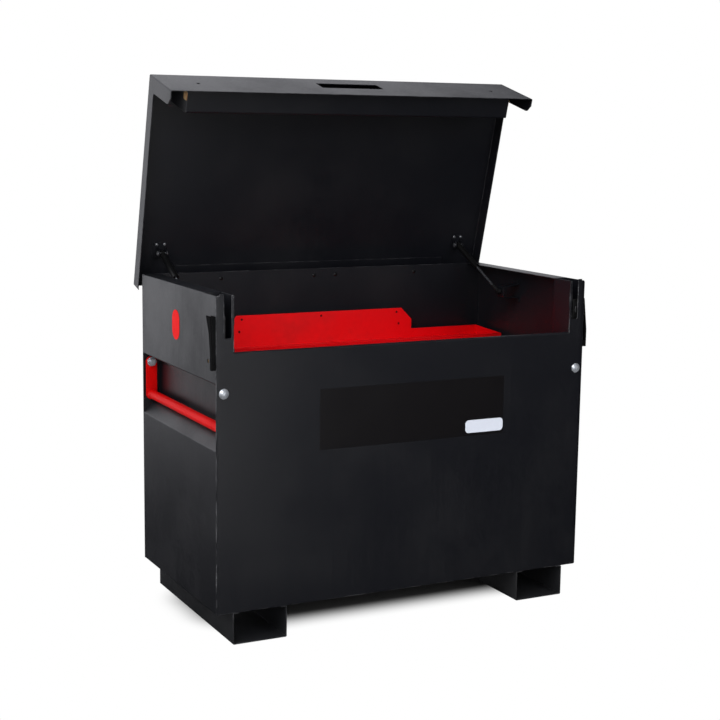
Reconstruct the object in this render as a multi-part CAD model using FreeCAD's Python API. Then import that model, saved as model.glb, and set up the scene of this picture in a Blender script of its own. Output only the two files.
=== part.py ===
import FreeCAD, Part
import math
import os
from FreeCAD import Vector

os.makedirs("parts", exist_ok=True)

# Steel jobsite box: body on two fork skids, lid held open by gas struts,
# drop handles in side recesses, deadlocks in the front ears and a sliding tray.
# Millimetres. X runs along the front, Y from front to back, Z up.
# The box stands on z = 0 and is built around x = 0, y = 0, its own middle.
# At export all pieces shift along Y, so that the origin is the bottom centre
# of the whole object as it stands with the lid open.

# Body
boxWidth = 1275.0
boxDepth = 650.0
boxTop = 1045.0
frontDrop = 167.0
sheet = 2.5
bendRadius = 4.0
edgeRound = 2.0
flangeWidth = 28.0
frontLip = 20.0
frontLipFace = 16.0
frontLipHem = 10.0
frontFootRound = 4.5
floorGap = 2.0

# Fork skids
skidHeight = 98.0
skidWidth = 175.0
skidInset = 52.5
skidWall = 3.0
skidFlange = 20.0
skidBend = 4.0

# Handle recesses in the side panels
recessDrop = 258.0
recessHeight = 196.0
recessDepth = 55.0

# Front ears with their lock housings
earWidth = 55.5
earSlotWidth = 23.0
earSlotInset = 7.0
earSlotDepth = 124.0
earSlotRound = 5.0
earCorner = 7.0
earStopWidth = 14.0
earStopHeight = 5.0
housingDepth = 95.0
housingAboveRecess = 26.5

# Deadlocks, each with a keep on the lid that drops behind the ear
caseWidth = 80.0
caseHeight = 150.0
caseThick = 26.0
caseGap = 3.0
caseBehindEar = 12.0
caseRise = 10.0
facePlate = 3.0
facePlateMargin = 8.0
boltHeight = 20.0
boltThick = 12.0
boltLength = 42.0
boltRise = 124.0
boltChamfer = 1.5
boltWayPast = 2.0
boltGap = 0.4
keyRise = 22.0
keyBehindFront = 63.0
barrelRadius = 9.0
barrelSeat = 4.0
barrelPlay = 0.5
collarWall = 4.0
keyHoleRadius = 6.5
keywayDepth = 9.0
keywayWidth = 2.4
keywayHeight = 7.0
keyBowRadius = 2.2
keepThick = 3.0
keepBehindEar = 7.0
keepHeight = 72.0
keepReach = 31.0
keepBelowBolt = 21.0
keepPlay = 2.0
keepRound = 6.0

# Guards that the lid's corner flaps slide behind
guardProud = 12.5
guardThick = 3.0
guardDrop = 60.0
guardHeight = 156.0
guardFootHeight = 19.0
guardFootWidth = 15.0
guardFootMargin = 0.5
guardTopWidth = 31.0
guardLean = 16.0
guardThroatDrop = 109.0
guardShoulderDrop = 49.0
guardShoulderOut = 10.0
guardBackDrop = 100.0
guardBackRound = 80.0
guardFaceRound = 60.0

# Lid
lidGap = 3.0
lidRise = 25.0
lidOverhang = 42.0
skirtDepth = 203.0
sideSkirtDepth = 48.0
flapWidth = 48.0
flapTipRise = 19.0
flapTipWidth = 24.0
flapCorner = 12.0
flapTipRound = 20.0
rearHem = 12.0
lidEdge = 4.0
handSlotWidth = 220.0
handSlotHeight = 57.0
handSlotDrop = 64.0
skirtCutCentre = 7.0
handSlotRound = 5.0
skirtHoleDrop = 107.0
skirtHoleInset = 115.0
skirtHoleRadius = 6.0
openAngle = 75.0

# Stiffening channel behind the lid's front skirt
channelGap = 7.0
channelDepth = 76.0
channelDrop = 165.0
channelFlange = 20.0
channelBend = 6.0
guidePlate = 2.0
guideBehindSkirt = 11.0
guideWidth = 27.0
guideHeight = 26.0
guideRise = 2.0
guideRound = 4.0

# Hinge along the back
hingeBehind = 15.0
hingeBelow = 29.6
hingeInset = 129.5
knuckleCount = 17
knuckleRadius = 8.0
knuckleGap = 1.0
pinRadius = 4.0
runningGap = 0.05
leafThick = 3.5
boxLeafBelow = 12.0
boxLeafHeight = 86.0
lidLeafReach = 45.0
hingeBoltBelow = 24.0
hingeBoltRadius = 4.5
hingeHeadRadius = 6.5
hingeHeadHeight = 3.0
hingeNutRadius = 7.5
hingeNutHeight = 2.5
hingeBoltInset = 143.0
hingeMiddleBolts = (-25.0, 56.0)

# Gas struts
strutInset = 75.0
strutFootAhead = 252.0
strutFootDrop = 76.0
strutLidAlong = 86.9
strutLidUnder = 18.5
cylinderRadius = 10.0
cylinderWall = 2.5
cylinderLength = 148.0
cylinderMouth = 6.0
rodRadius = 4.5
rodFittingRadius = 5.5
rodFittingLength = 40.0
rodLength = 178.0
pistonThick = 6.0
pistonGap = 0.3
eyeRadius = 9.0
eyeWidth = 12.0
neckLength = 4.0
strutPinRadius = 4.0
clevisGap = 22.4
clevisThick = 2.5
pinHead = 3.5
pinHeadRadius = 6.5
footGap = 9.0
footThick = 3.0
openPivotGap = 0.4
bracketAlong = 54.0
bracketBehindPin = 22.0
bracketWidth = 45.0
bracketAside = 3.0
bracketRound = 5.0
cheekRoot = 18.0
cheekTip = 10.0
cheekRound = 9.0
footWidth = 40.0
footHeight = 46.0
footTab = 14.0
footTaper = 8.0
screwRadius = 5.0
screwHeight = 3.0
screwAhead = 25.0
screwOuter = 15.0
screwInner = 12.0

# Drop handles
handlePivotDrop = 27.0
handlePivotInset = 24.5
handleReach = 107.0
handleBarRadius = 15.0
armHalf = 18.0
armThick = 6.0
armGap = 7.0
handleBoltRadius = 8.0
domeRadius = 15.5
domeHeight = 8.8
nutAcross = 24.0
nutHeight = 8.0
washerRadius = 15.0
washerThick = 2.0
washerGap = 0.4
spacerWall = 4.0
boltPastNut = 4.0

# Tool tray, resting on the tops of the recesses
trayInset = 23.0
trayBehind = 22.5
trayDepth = 172.0
trayWall = 2.0
trayLip = 25.0
trayEndRise = 33.0
trayRest = 0.2
trayBackHeight = 108.0
trayBackInset = 260.0
trayBackAside = 8.0
trayBackChamfer = 41.0
trayHoleRadius = 4.0
trayTopHoleDrop = 14.0
trayTopHoleInset = 59.0
trayEndHoleDrop = 55.0
trayEndHoleInset = 50.0

# Places worked out from the sizes above
halfWidth = boxWidth / 2
front = -boxDepth / 2
back = boxDepth / 2
innerHalf = halfWidth - sheet
frontTop = boxTop - frontDrop
recessTop = boxTop - recessDrop
recessBottom = recessTop - recessHeight
frontInner = front + sheet
backInner = back - sheet
lidTop = boxTop + lidRise
lidHalf = halfWidth + lidGap + sheet
lidFront = front - lidGap - sheet
lidBack = back + lidOverhang
lidUnder = lidTop - sheet
hingeY = back + hingeBehind
hingeZ = boxTop - hingeBelow
hingeLength = boxWidth - 2 * hingeInset
hingeBoltOut = hingeLength / 2 - hingeBoltInset
hingeBoltPlaces = (-hingeBoltOut,) + hingeMiddleBolts + (hingeBoltOut,)
skirtBottom = lidTop - skirtDepth
skirtHoleOut = lidHalf - skirtHoleInset
earInner = halfWidth - earWidth
footHalf = halfWidth - flangeWidth - floorGap
slotInner = earInner + earSlotInset
slotOuter = slotInner + earSlotWidth
slotMiddle = slotInner + earSlotWidth / 2
earSlotFloor = boxTop - earSlotDepth
ledgeTop = recessTop + sheet
housingFloor = ledgeTop + housingAboveRecess
guardTop = boxTop - guardDrop
guardBottom = guardTop - guardHeight
caseFloor = housingFloor + caseRise
caseOuter = innerHalf - caseGap
caseInner = caseOuter - caseThick
caseFront = frontInner + caseBehindEar
caseBack = caseFront + caseWidth
boltX = caseInner + caseThick / 2
boltZ = caseFloor + boltRise
keyY = front + keyBehindFront
keyZ = caseFloor + keyRise
keepBack = frontInner + keepBehindEar + keepThick
hingeBoltZ = boxTop - hingeBoltBelow
handleX = halfWidth - handlePivotInset
handlePivotZ = recessTop - handlePivotDrop
armFront = frontInner + armGap
trayFloor = ledgeTop + trayRest
trayHalf = innerHalf - trayInset
trayBack = backInner - trayBehind
trayFront = trayBack - trayDepth
trayBackHalf = trayHalf - trayBackInset
channelHalf = earInner - channelGap
channelFront = lidFront + sheet
channelBack = channelFront + channelDepth
channelFloor = lidTop - channelDrop
strutOut = innerHalf - strutInset
strutFootY = back - strutFootAhead
strutFootZ = boxTop - strutFootDrop
strutLidY = hingeY - strutLidAlong
strutLidZ = lidUnder - strutLidUnder


def xz(u, v):
    return Vector(u, 0, v)


def yz(u, v):
    return Vector(0, u, v)


def xy(u, v):
    return Vector(u, v, 0)


def cutCorner(before, corner, after, radius):
    # Start, middle and end of the arc that rounds a corner.
    toBefore = (before - corner).normalize()
    toAfter = (after - corner).normalize()
    half = toBefore.getAngle(toAfter) / 2
    reach = radius / math.tan(half)
    middle = corner + (toBefore + toAfter).normalize() * (radius / math.sin(half) - radius)
    return corner + toBefore * reach, middle, corner + toAfter * reach


def outlineEdges(corners, lift, closed):
    # Each corner is (u, v) or (u, v, radius).
    points = [lift(c[0], c[1]) for c in corners]
    radii = [c[2] if len(c) > 2 else 0 for c in corners]
    count = len(points)
    stops = []
    for i in range(count):
        inside = closed or 0 < i < count - 1
        if radii[i] > 0 and inside:
            stops.append(cutCorner(points[i - 1], points[i], points[(i + 1) % count], radii[i]))
        else:
            stops.append((points[i],))
    edges = []
    for i in range(count):
        if len(stops[i]) == 3:
            edges.append(Part.Arc(*stops[i]).toShape())
        if closed or i < count - 1:
            start = stops[i][-1]
            end = stops[(i + 1) % count][0]
            if start.distanceToPoint(end) > 1e-6:
                edges.append(Part.LineSegment(start, end).toShape())
    return edges


def plate(corners, lift, along, holes=()):
    # A flat outline with optional holes, given a thickness along a vector.
    face = Part.Face(Part.Wire(outlineEdges(corners, lift, True)))
    for hole in holes:
        face = face.cut(Part.Face(hole))
    return face.extrude(along)


def offsetPath(corners, distance):
    # The path moved to its left by a distance, corners kept as intersections.
    flat = [Vector(c[0], c[1], 0) for c in corners]
    moved = []
    for i, corner in enumerate(flat):
        before = (corner - flat[i - 1]).normalize() if i > 0 else None
        after = (flat[i + 1] - corner).normalize() if i < len(flat) - 1 else None
        first = before or after
        second = after or before
        normal = Vector(-first.y, first.x, 0) + Vector(-second.y, second.x, 0)
        scale = distance * 2 / normal.Length ** 2
        moved.append(corner + normal * scale)
    return moved


def bentSheet(corners, thickness, lift, along, radius=bendRadius):
    # Folded sheet: the path is one face of the sheet, the other lies to its left.
    inner = offsetPath(corners, thickness)
    outerCorners = []
    innerCorners = []
    for i, corner in enumerate(corners):
        turn = 0
        if 0 < i < len(corners) - 1:
            before = Vector(corner[0] - corners[i - 1][0], corner[1] - corners[i - 1][1], 0)
            after = Vector(corners[i + 1][0] - corner[0], corners[i + 1][1] - corner[1], 0)
            turn = before.cross(after).z
        leftTurn = turn > 0
        outerCorners.append((corner[0], corner[1], radius if leftTurn else max(radius - thickness, 0.5)))
        innerCorners.append((inner[i].x, inner[i].y, max(radius - thickness, 0.5) if leftTurn else radius))
    outerEdges = outlineEdges(outerCorners, lift, False)
    innerEdges = outlineEdges(innerCorners, lift, False)
    starts = Part.LineSegment(lift(*corners[0][:2]), lift(inner[0].x, inner[0].y)).toShape()
    ends = Part.LineSegment(lift(*corners[-1][:2]), lift(inner[-1].x, inner[-1].y)).toShape()
    wire = Part.Wire(Part.__sortEdges__(outerEdges + innerEdges + [starts, ends]))
    return Part.Face(wire).extrude(along)


def block(x0, x1, y0, y1, z0, z1):
    return Part.makeBox(x1 - x0, y1 - y0, z1 - z0, Vector(x0, y0, z0))


def rod(start, end, radius):
    return Part.makeCylinder(radius, (end - start).Length, start, end - start)


def circle(centre, radius, normal):
    return Part.Wire(Part.Circle(centre, normal, radius).toShape())


def mirrored(shape):
    return shape.mirror(Vector(0, 0, 0), Vector(1, 0, 0))


def hexNut(centre, direction, bore):
    # A hexagon nut with chamfered corners, its seat at the centre point.
    corner = nutAcross / math.sqrt(3)
    ring = [Vector(corner * math.cos(math.radians(60 * step)), corner * math.sin(math.radians(60 * step)), 0)
            for step in range(7)]
    nut = Part.Face(Part.makePolygon(ring)).extrude(Vector(0, 0, nutHeight))
    crown = Part.makeCone(corner + nutHeight, nutAcross * 0.48, nutHeight * 1.25)
    nut = nut.common(crown)
    nut = nut.cut(Part.makeCylinder(bore, nutHeight * 3, Vector(0, 0, -nutHeight)))
    nut.Placement = FreeCAD.Placement(centre, FreeCAD.Rotation(Vector(0, 0, 1), direction))
    return nut


def dome(centre, direction, radius, height):
    # A shallow spherical bolt head that sits on the centre point.
    ballRadius = (radius ** 2 + height ** 2) / (2 * height)
    ball = Part.makeSphere(ballRadius, Vector(0, 0, height - ballRadius))
    head = ball.common(Part.makeCylinder(radius, height * 2))
    head.Placement = FreeCAD.Placement(centre, FreeCAD.Rotation(Vector(0, 0, 1), direction))
    return head


def frontPanel():
    # One sheet: lowered edge between two tall ears, each with an open-topped slot
    # and a small stop for the lid.
    stopTop = boxTop + earStopHeight
    stopEnd = slotOuter + earStopWidth
    right = [
        (earInner, frontTop, edgeRound), (earInner, boxTop, edgeRound), (slotInner, boxTop, edgeRound),
        (slotInner, earSlotFloor, earSlotRound), (slotOuter, earSlotFloor, earSlotRound),
        (slotOuter, stopTop, edgeRound), (stopEnd, stopTop, edgeRound), (stopEnd, boxTop),
        (halfWidth, boxTop, earCorner), (halfWidth, skidHeight, frontFootRound),
    ]
    left = [(-c[0],) + tuple(c[1:]) for c in reversed(right)]
    panel = plate(right + left, xz, Vector(0, sheet, 0),
                  [circle(xz(side * handleX, handlePivotZ), handleBoltRadius + runningGap, Vector(0, 1, 0))
                   for side in (-1, 1)])
    panel.translate(Vector(0, front, 0))
    lipPath = [(front, frontTop - frontLipFace), (front, frontTop), (front + frontLip, frontTop),
               (front + frontLip, frontTop - frontLipHem)]
    lip = bentSheet(list(reversed(lipPath)), sheet, yz, Vector(2 * earInner, 0, 0))
    lip.translate(Vector(-earInner, 0, 0))
    foot = block(-footHalf, footHalf, frontInner, front + flangeWidth, skidHeight, skidHeight + sheet)
    clear = block(-earInner, earInner, front - 1, frontInner + 1, frontTop - frontLipFace / 2, boxTop)
    whole = panel.cut(clear).fuse([lip, foot]).removeSplitter()
    sides = [e for e in whole.Edges if abs(abs(e.CenterOfMass.x) - halfWidth) < 0.01
             and abs(e.CenterOfMass.y - front) < 0.01 and abs(e.tangentAt(0).z) > 0.9]
    return whole.makeFillet(edgeRound, sides)


def rearPanel():
    holes = [circle(xz(side * handleX, handlePivotZ), handleBoltRadius + runningGap, Vector(0, 1, 0))
             for side in (-1, 1)]
    holes += [circle(xz(place, hingeBoltZ), hingeBoltRadius, Vector(0, 1, 0)) for place in hingeBoltPlaces]
    corners = [(-halfWidth, skidHeight, edgeRound), (halfWidth, skidHeight, edgeRound),
               (halfWidth, boxTop, edgeRound), (-halfWidth, boxTop, edgeRound)]
    panel = plate(corners, xz, Vector(0, sheet, 0), holes)
    panel.translate(Vector(0, backInner, 0))
    foot = block(-footHalf, footHalf, back - flangeWidth, backInner, skidHeight, skidHeight + sheet)
    return panel.fuse(foot).removeSplitter()


def sidePanel():
    # Folded side: top flange, upper wall, recess for the handle, lower wall, bottom flange.
    bottom = recessBottom + recessDepth
    path = [
        (halfWidth - flangeWidth, skidHeight), (halfWidth, skidHeight), (halfWidth, recessBottom),
        (halfWidth - recessDepth, bottom), (halfWidth - recessDepth, recessTop),
        (halfWidth, recessTop), (halfWidth, boxTop), (earInner, boxTop),
    ]
    depth = boxDepth - 2 * sheet
    panel = bentSheet(path, sheet, xz, Vector(0, depth, 0))
    panel.translate(Vector(0, frontInner, 0))
    notch = block(earInner - sheet, innerHalf, frontInner - sheet, frontInner + housingDepth,
                  boxTop - 2 * sheet, boxTop + sheet)
    keyHole = rod(Vector(innerHalf - sheet, keyY, keyZ), Vector(halfWidth + sheet, keyY, keyZ), keyHoleRadius)
    return panel.cut([notch, keyHole])


def floorPanel():
    # Floor tray of the box, lying on the bottom flanges of the four walls.
    top = skidHeight + sheet
    half = innerHalf - floorGap
    return block(-half, half, frontInner + floorGap, backInner - floorGap, top, top + sheet)


def skid():
    # Folded channel, open at both ends for a fork, closed above by the floor.
    outer = halfWidth - skidInset
    inner = outer - skidWidth
    path = [
        (inner + skidFlange, skidHeight), (inner, skidHeight), (inner, 0), (outer, 0),
        (outer, skidHeight), (outer - skidFlange, skidHeight),
    ]
    channel = bentSheet(path, skidWall, xz, Vector(0, boxDepth, 0), skidBend)
    channel.translate(Vector(0, front, 0))
    return channel


def lockHousing():
    # Folded cover inside the ear: inner wall, rear wall and floor, open at the top.
    rear = frontInner + housingDepth
    height = boxTop - housingFloor
    path = [(innerHalf - floorGap, rear), (earInner, rear), (earInner, frontInner)]
    walls = bentSheet(path, sheet, xy, Vector(0, 0, height))
    walls.translate(Vector(0, 0, housingFloor))
    base = block(earInner + sheet / 2, innerHalf, frontInner, rear - sheet / 2,
                 housingFloor, housingFloor + sheet)
    return walls.fuse(base).removeSplitter()


def lockCase():
    # Deadlock case: a square way for the bolt, a round seat for the barrel and a face plate.
    body = block(caseInner, caseOuter, caseFront, caseBack, caseFloor, caseFloor + caseHeight)
    body = body.makeFillet(edgeRound, [e for e in body.Edges if abs(e.tangentAt(0).x) > 0.9])
    rim = block(caseInner - facePlate, caseOuter, caseFront, caseFront + facePlate,
                caseFloor - facePlateMargin / 2, caseFloor + caseHeight + facePlateMargin)
    rim = rim.makeFillet(facePlate, [e for e in rim.Edges if abs(e.tangentAt(0).y) > 0.9])
    wayX = boltThick / 2 + boltGap
    wayZ = boltHeight / 2 + boltGap
    way = block(boltX - wayX, boltX + wayX, caseFront - facePlate, caseFront + boltLength + boltWayPast,
                boltZ - wayZ, boltZ + wayZ)
    end = Vector(innerHalf, keyY, keyZ)
    seat = rod(Vector(caseInner + barrelSeat, keyY, keyZ), end, barrelRadius + runningGap)
    collar = rod(Vector(caseOuter, keyY, keyZ), end, barrelRadius + collarWall)
    return body.fuse([rim, collar]).cut([way, seat]).removeSplitter()


def lockBolt():
    # Square deadbolt, drawn back flush with the face plate; it shoots forward into the keep.
    bolt = block(boltX - boltThick / 2, boltX + boltThick / 2, caseFront, caseFront + boltLength,
                 boltZ - boltHeight / 2, boltZ + boltHeight / 2)
    nose = [e for e in bolt.Edges if abs(e.CenterOfMass.y - caseFront) < 0.01]
    return bolt.makeChamfer(boltChamfer, nose)


def keyBarrel():
    # Round barrel behind the key hole, with a keyway in its outer end.
    start = Vector(caseInner + barrelSeat + barrelPlay, keyY, keyZ)
    barrel = rod(start, Vector(innerHalf - barrelPlay, keyY, keyZ), barrelRadius)
    bottom = innerHalf - keywayDepth
    half = keywayWidth / 2
    bowZ = keyZ + keyBowRadius
    bit = block(bottom, innerHalf, keyY - half, keyY + half, bowZ - keywayHeight, bowZ)
    bow = rod(Vector(bottom, keyY, bowZ), Vector(innerHalf, keyY, bowZ), keyBowRadius)
    return barrel.cut([bit, bow])


def flapGuard():
    # Claw-shaped plate on a foot; the lid's corner flap slides down behind it.
    outer = halfWidth + guardProud
    top = guardTop
    topFront = front + guardLean
    throat = front + guardFootWidth
    corners = [
        (front, guardBottom, edgeRound), (throat, guardBottom, edgeRound),
        (throat, top - guardThroatDrop, guardFaceRound),
        (throat + guardShoulderOut, top - guardShoulderDrop, guardFaceRound),
        (topFront + guardTopWidth, top, edgeRound), (topFront, top, edgeRound),
        (front, top - guardBackDrop, guardBackRound),
    ]
    claw = plate(corners, yz, Vector(guardThick, 0, 0))
    claw.translate(Vector(outer - guardThick, 0, 0))
    foot = block(halfWidth, outer - guardThick / 2, front + guardFootMargin, throat - guardFootMargin,
                 guardBottom + guardFootMargin, guardBottom + guardFootHeight)
    return claw.fuse(foot).removeSplitter()


def lidShell():
    # Pressed lid: panel, side skirts, deep front skirt with corner flaps, short rear hem.
    outer = block(-lidHalf, lidHalf, lidFront, lidBack, skirtBottom, lidTop)
    inner = block(-lidHalf + sheet, lidHalf - sheet, lidFront + sheet, lidBack - sheet,
                  skirtBottom - lidEdge, lidUnder)
    softOuter = [e for e in outer.Edges if e.CenterOfMass.z > skirtBottom + sheet]
    softInner = [e for e in inner.Edges if e.CenterOfMass.z > skirtBottom + sheet]
    shell = outer.makeFillet(lidEdge, softOuter).cut(inner.makeFillet(lidEdge - sheet, softInner))
    past = lidEdge
    low = skirtBottom - past
    sideBottom = lidTop - sideSkirtDepth
    tip = lidFront + flapTipWidth
    flapBack = lidFront + flapWidth
    sideCut = [
        (tip, low), (tip, skirtBottom, flapTipRound), (flapBack, skirtBottom + flapTipRise, flapTipRound),
        (flapBack, sideBottom, flapCorner), (lidBack + past, sideBottom), (lidBack + past, low),
    ]
    away = plate(sideCut, yz, Vector(2 * (lidHalf + past), 0, 0))
    away.translate(Vector(-lidHalf - past, 0, 0))
    rearCut = block(-lidHalf + lidEdge, lidHalf - lidEdge, lidBack - lidEdge, lidBack + past,
                    low, lidTop - rearHem)
    left = skirtCutCentre - handSlotWidth / 2
    right = skirtCutCentre + handSlotWidth / 2
    slotTop = lidTop - handSlotDrop
    slotBottom = slotTop - handSlotHeight
    ring = handSlotRound
    slot = plate([(left, slotBottom, ring), (right, slotBottom, ring), (right, slotTop, ring),
                  (left, slotTop, ring)], xz, Vector(0, 3 * sheet, 0))
    slot.translate(Vector(0, lidFront - sheet, 0))
    holeZ = lidTop - skirtHoleDrop
    holeEnds = (skirtCutCentre - skirtHoleOut, skirtCutCentre + skirtHoleOut)
    holes = [rod(Vector(x, lidFront - sheet, holeZ), Vector(x, lidFront + 2 * sheet, holeZ), skirtHoleRadius)
             for x in holeEnds]
    return shell.cut([away, rearCut, slot] + holes)


def lidChannel():
    # Folded stiffener that closes a hollow box behind the front skirt, with end plates.
    path = [
        (channelFront, channelFloor + channelFlange), (channelFront, channelFloor),
        (channelBack, channelFloor), (channelBack, lidUnder - sheet),
        (channelBack + channelFlange, lidUnder - sheet),
    ]
    walls = bentSheet(path, sheet, yz, Vector(2 * channelHalf, 0, 0), channelBend)
    walls.translate(Vector(-channelHalf, 0, 0))
    solids = [walls]
    for side in (-1, 1):
        near = side * channelHalf - (sheet if side > 0 else 0)
        solids.append(block(near, near + sheet, channelFront + sheet / 2, channelBack - sheet / 2,
                            channelFloor + sheet / 2, lidUnder - sheet))
    return solids[0].fuse(solids[1:]).removeSplitter()


def guidePlates():
    # Bright wear plates on the channel's ends, which run past the ears.
    plates = []
    for side in (-1, 1):
        near = channelHalf if side > 0 else -channelHalf - guidePlate
        padFront = channelFront + guideBehindSkirt
        pad = block(near, near + guidePlate, padFront, padFront + guideWidth,
                    channelFloor + guideRise, channelFloor + guideRise + guideHeight)
        pad = pad.makeFillet(guideRound, [e for e in pad.Edges if abs(e.tangentAt(0).x) > 0.9])
        plates.append(pad)
    return Part.makeCompound(plates)


def lockKeep():
    # Angle on the lid: its web drops through the ear's slot, its plate takes the deadbolt.
    low = boltZ - keepBelowBolt
    high = low + keepHeight
    left = slotMiddle - keepThick / 2
    right = left + keepReach
    web = plate([(channelFront, low), (keepBack, low), (keepBack, high), (channelFront, high)], yz,
                Vector(keepThick, 0, 0))
    web.translate(Vector(left, 0, 0))
    wayX = boltThick / 2 + keepPlay
    wayZ = boltHeight / 2 + keepPlay
    window = Part.Wire(outlineEdges([(boltX - wayX, boltZ - wayZ), (boltX + wayX, boltZ - wayZ),
                                     (boltX + wayX, boltZ + wayZ), (boltX - wayX, boltZ + wayZ)], xz, True))
    strike = plate([(left, low), (right, low, keepRound), (right, high, keepRound), (left, high)], xz,
                   Vector(0, keepThick, 0), [window])
    strike.translate(Vector(0, keepBack - keepThick, 0))
    return web.fuse(strike).removeSplitter()


def knuckles(first, web):
    # Every second knuckle of the hinge, each joined to its leaf by a web.
    pitch = hingeLength / knuckleCount
    barrels = []
    for index in range(first, knuckleCount, 2):
        x0 = -hingeLength / 2 + index * pitch + knuckleGap / 2
        x1 = x0 + pitch - knuckleGap
        barrel = rod(Vector(x0, hingeY, hingeZ), Vector(x1, hingeY, hingeZ), knuckleRadius)
        bore = rod(Vector(x0 - 1, hingeY, hingeZ), Vector(x1 + 1, hingeY, hingeZ), pinRadius + runningGap)
        barrels.append(barrel.fuse(block(x0, x1, *web)).cut(bore))
    return barrels


def boxHingeLeaf():
    half = hingeLength / 2
    top = boxTop - boxLeafBelow
    leaf = block(-half, half, back, back + leafThick, top - boxLeafHeight, top)
    web = (back, hingeY, hingeZ - knuckleRadius, hingeZ - knuckleRadius + leafThick)
    ways = [rod(Vector(place, back - 1, hingeBoltZ), Vector(place, hingeY, hingeBoltZ), hingeBoltRadius)
            for place in hingeBoltPlaces]
    return leaf.cut(ways).fuse(knuckles(0, web)).removeSplitter()


def lidHingeLeaf():
    half = hingeLength / 2
    outer = hingeY + knuckleRadius
    rise = hingeZ + knuckleRadius + 2 * knuckleGap
    upright = block(-half, half, outer - leafThick, outer, rise, lidUnder)
    flange = block(-half, half, outer - lidLeafReach, outer, lidUnder - leafThick, lidUnder)
    web = (outer - leafThick, outer, hingeZ, rise + knuckleGap)
    return upright.fuse([flange] + knuckles(1, web)).removeSplitter()


def hingePin():
    half = hingeLength / 2 - knuckleGap
    return rod(Vector(-half, hingeY, hingeZ), Vector(half, hingeY, hingeZ), pinRadius)


def hingeBolts():
    # Bolts through the back wall and the box leaf, round heads inside and thin nuts outside.
    bolts = []
    for place in hingeBoltPlaces:
        seat = Vector(place, backInner, hingeBoltZ)
        end = Vector(place, back + leafThick + hingeNutHeight, hingeBoltZ)
        head = dome(seat, Vector(0, -1, 0), hingeHeadRadius, hingeHeadHeight)
        nut = rod(Vector(place, back + leafThick, hingeBoltZ), end, hingeNutRadius)
        bolts.append(rod(seat - Vector(0, 1, 0), end, hingeBoltRadius).fuse([head, nut]))
    return Part.makeCompound(bolts)


def strutFoot():
    # Folded stand-off bracket on the side wall, its flat top facing the strut's lower eye.
    near = strutOut + footGap + footThick
    half = footHeight / 2
    path = [
        (innerHalf, strutFootZ - half - footTab), (innerHalf, strutFootZ - half),
        (near, strutFootZ - half + footTaper), (near, strutFootZ + half - footTaper),
        (innerHalf, strutFootZ + half), (innerHalf, strutFootZ + half + footTab),
    ]
    arch = bentSheet(path, footThick, xz, Vector(0, footWidth, 0))
    arch.translate(Vector(0, strutFootY - footWidth / 2, 0))
    return arch


def strutLine():
    # Lower pin, direction and length of the strut with the lid open.
    foot = Vector(strutOut, strutFootY, strutFootZ)
    head = opened(Part.Vertex(Vector(strutOut, strutLidY, strutLidZ))).Point
    return foot, (head - foot).normalize(), (head - foot).Length


def eye(centre):
    half = Vector(eyeWidth / 2, 0, 0)
    return rod(centre - half, centre + half, eyeRadius)


def eyeBore(centre, radius):
    past = Vector(eyeWidth, 0, 0)
    return rod(centre - past, centre + past, radius)


def turned(profile, start, along):
    # A lathe-turned piece: its outline as (distance, radius) about an axis from the start point.
    points = [Vector(0, radius, distance) for distance, radius in profile + profile[:1]]
    piece = Part.Face(Part.makePolygon(points)).revolve(Vector(0, 0, 0), Vector(0, 0, 1), 360)
    piece.Placement = FreeCAD.Placement(start, FreeCAD.Rotation(Vector(0, 0, 1), along))
    return piece


def strutRod():
    foot, along, length = strutLine()
    piston = cylinderRadius - cylinderWall - pistonGap
    profile = [
        (0, 0), (0, rodFittingRadius), (rodFittingLength, rodFittingRadius), (rodFittingLength, rodRadius),
        (rodLength - pistonThick, rodRadius), (rodLength - pistonThick, piston), (rodLength, piston),
        (rodLength, 0),
    ]
    return turned(profile, foot, along).fuse(eye(foot)).cut(eyeBore(foot, strutPinRadius)).removeSplitter()


def strutCylinder():
    # Tube with a turned-in mouth round the rod, closed by a neck that carries the upper eye.
    foot, along, length = strutLine()
    head = foot + along * length
    shoulder = cylinderLength - eyeRadius - neckLength
    bore = cylinderRadius - cylinderWall
    throat = rodRadius + runningGap
    profile = [
        (0, throat), (0, cylinderRadius), (shoulder, cylinderRadius), (shoulder, rodFittingRadius),
        (cylinderLength, rodFittingRadius), (cylinderLength, 0), (shoulder - neckLength, 0),
        (shoulder - neckLength, bore), (cylinderMouth, bore), (cylinderMouth, throat),
    ]
    tube = turned(profile, head - along * cylinderLength, along)
    return tube.fuse(eye(head)).cut(eyeBore(head, strutPinRadius + runningGap)).removeSplitter()


def footPin():
    # Pin of the lower eye, with a clip on its free end; it ends just short of the bracket.
    foot, along, length = strutLine()
    free = foot - Vector(eyeWidth / 2 + pinHead, 0, 0)
    pin = rod(free, foot + Vector(footGap - openPivotGap, 0, 0), strutPinRadius)
    clip = rod(free, free + Vector(pinHead, 0, 0), pinHeadRadius)
    return pin.fuse(clip).removeSplitter()


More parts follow.
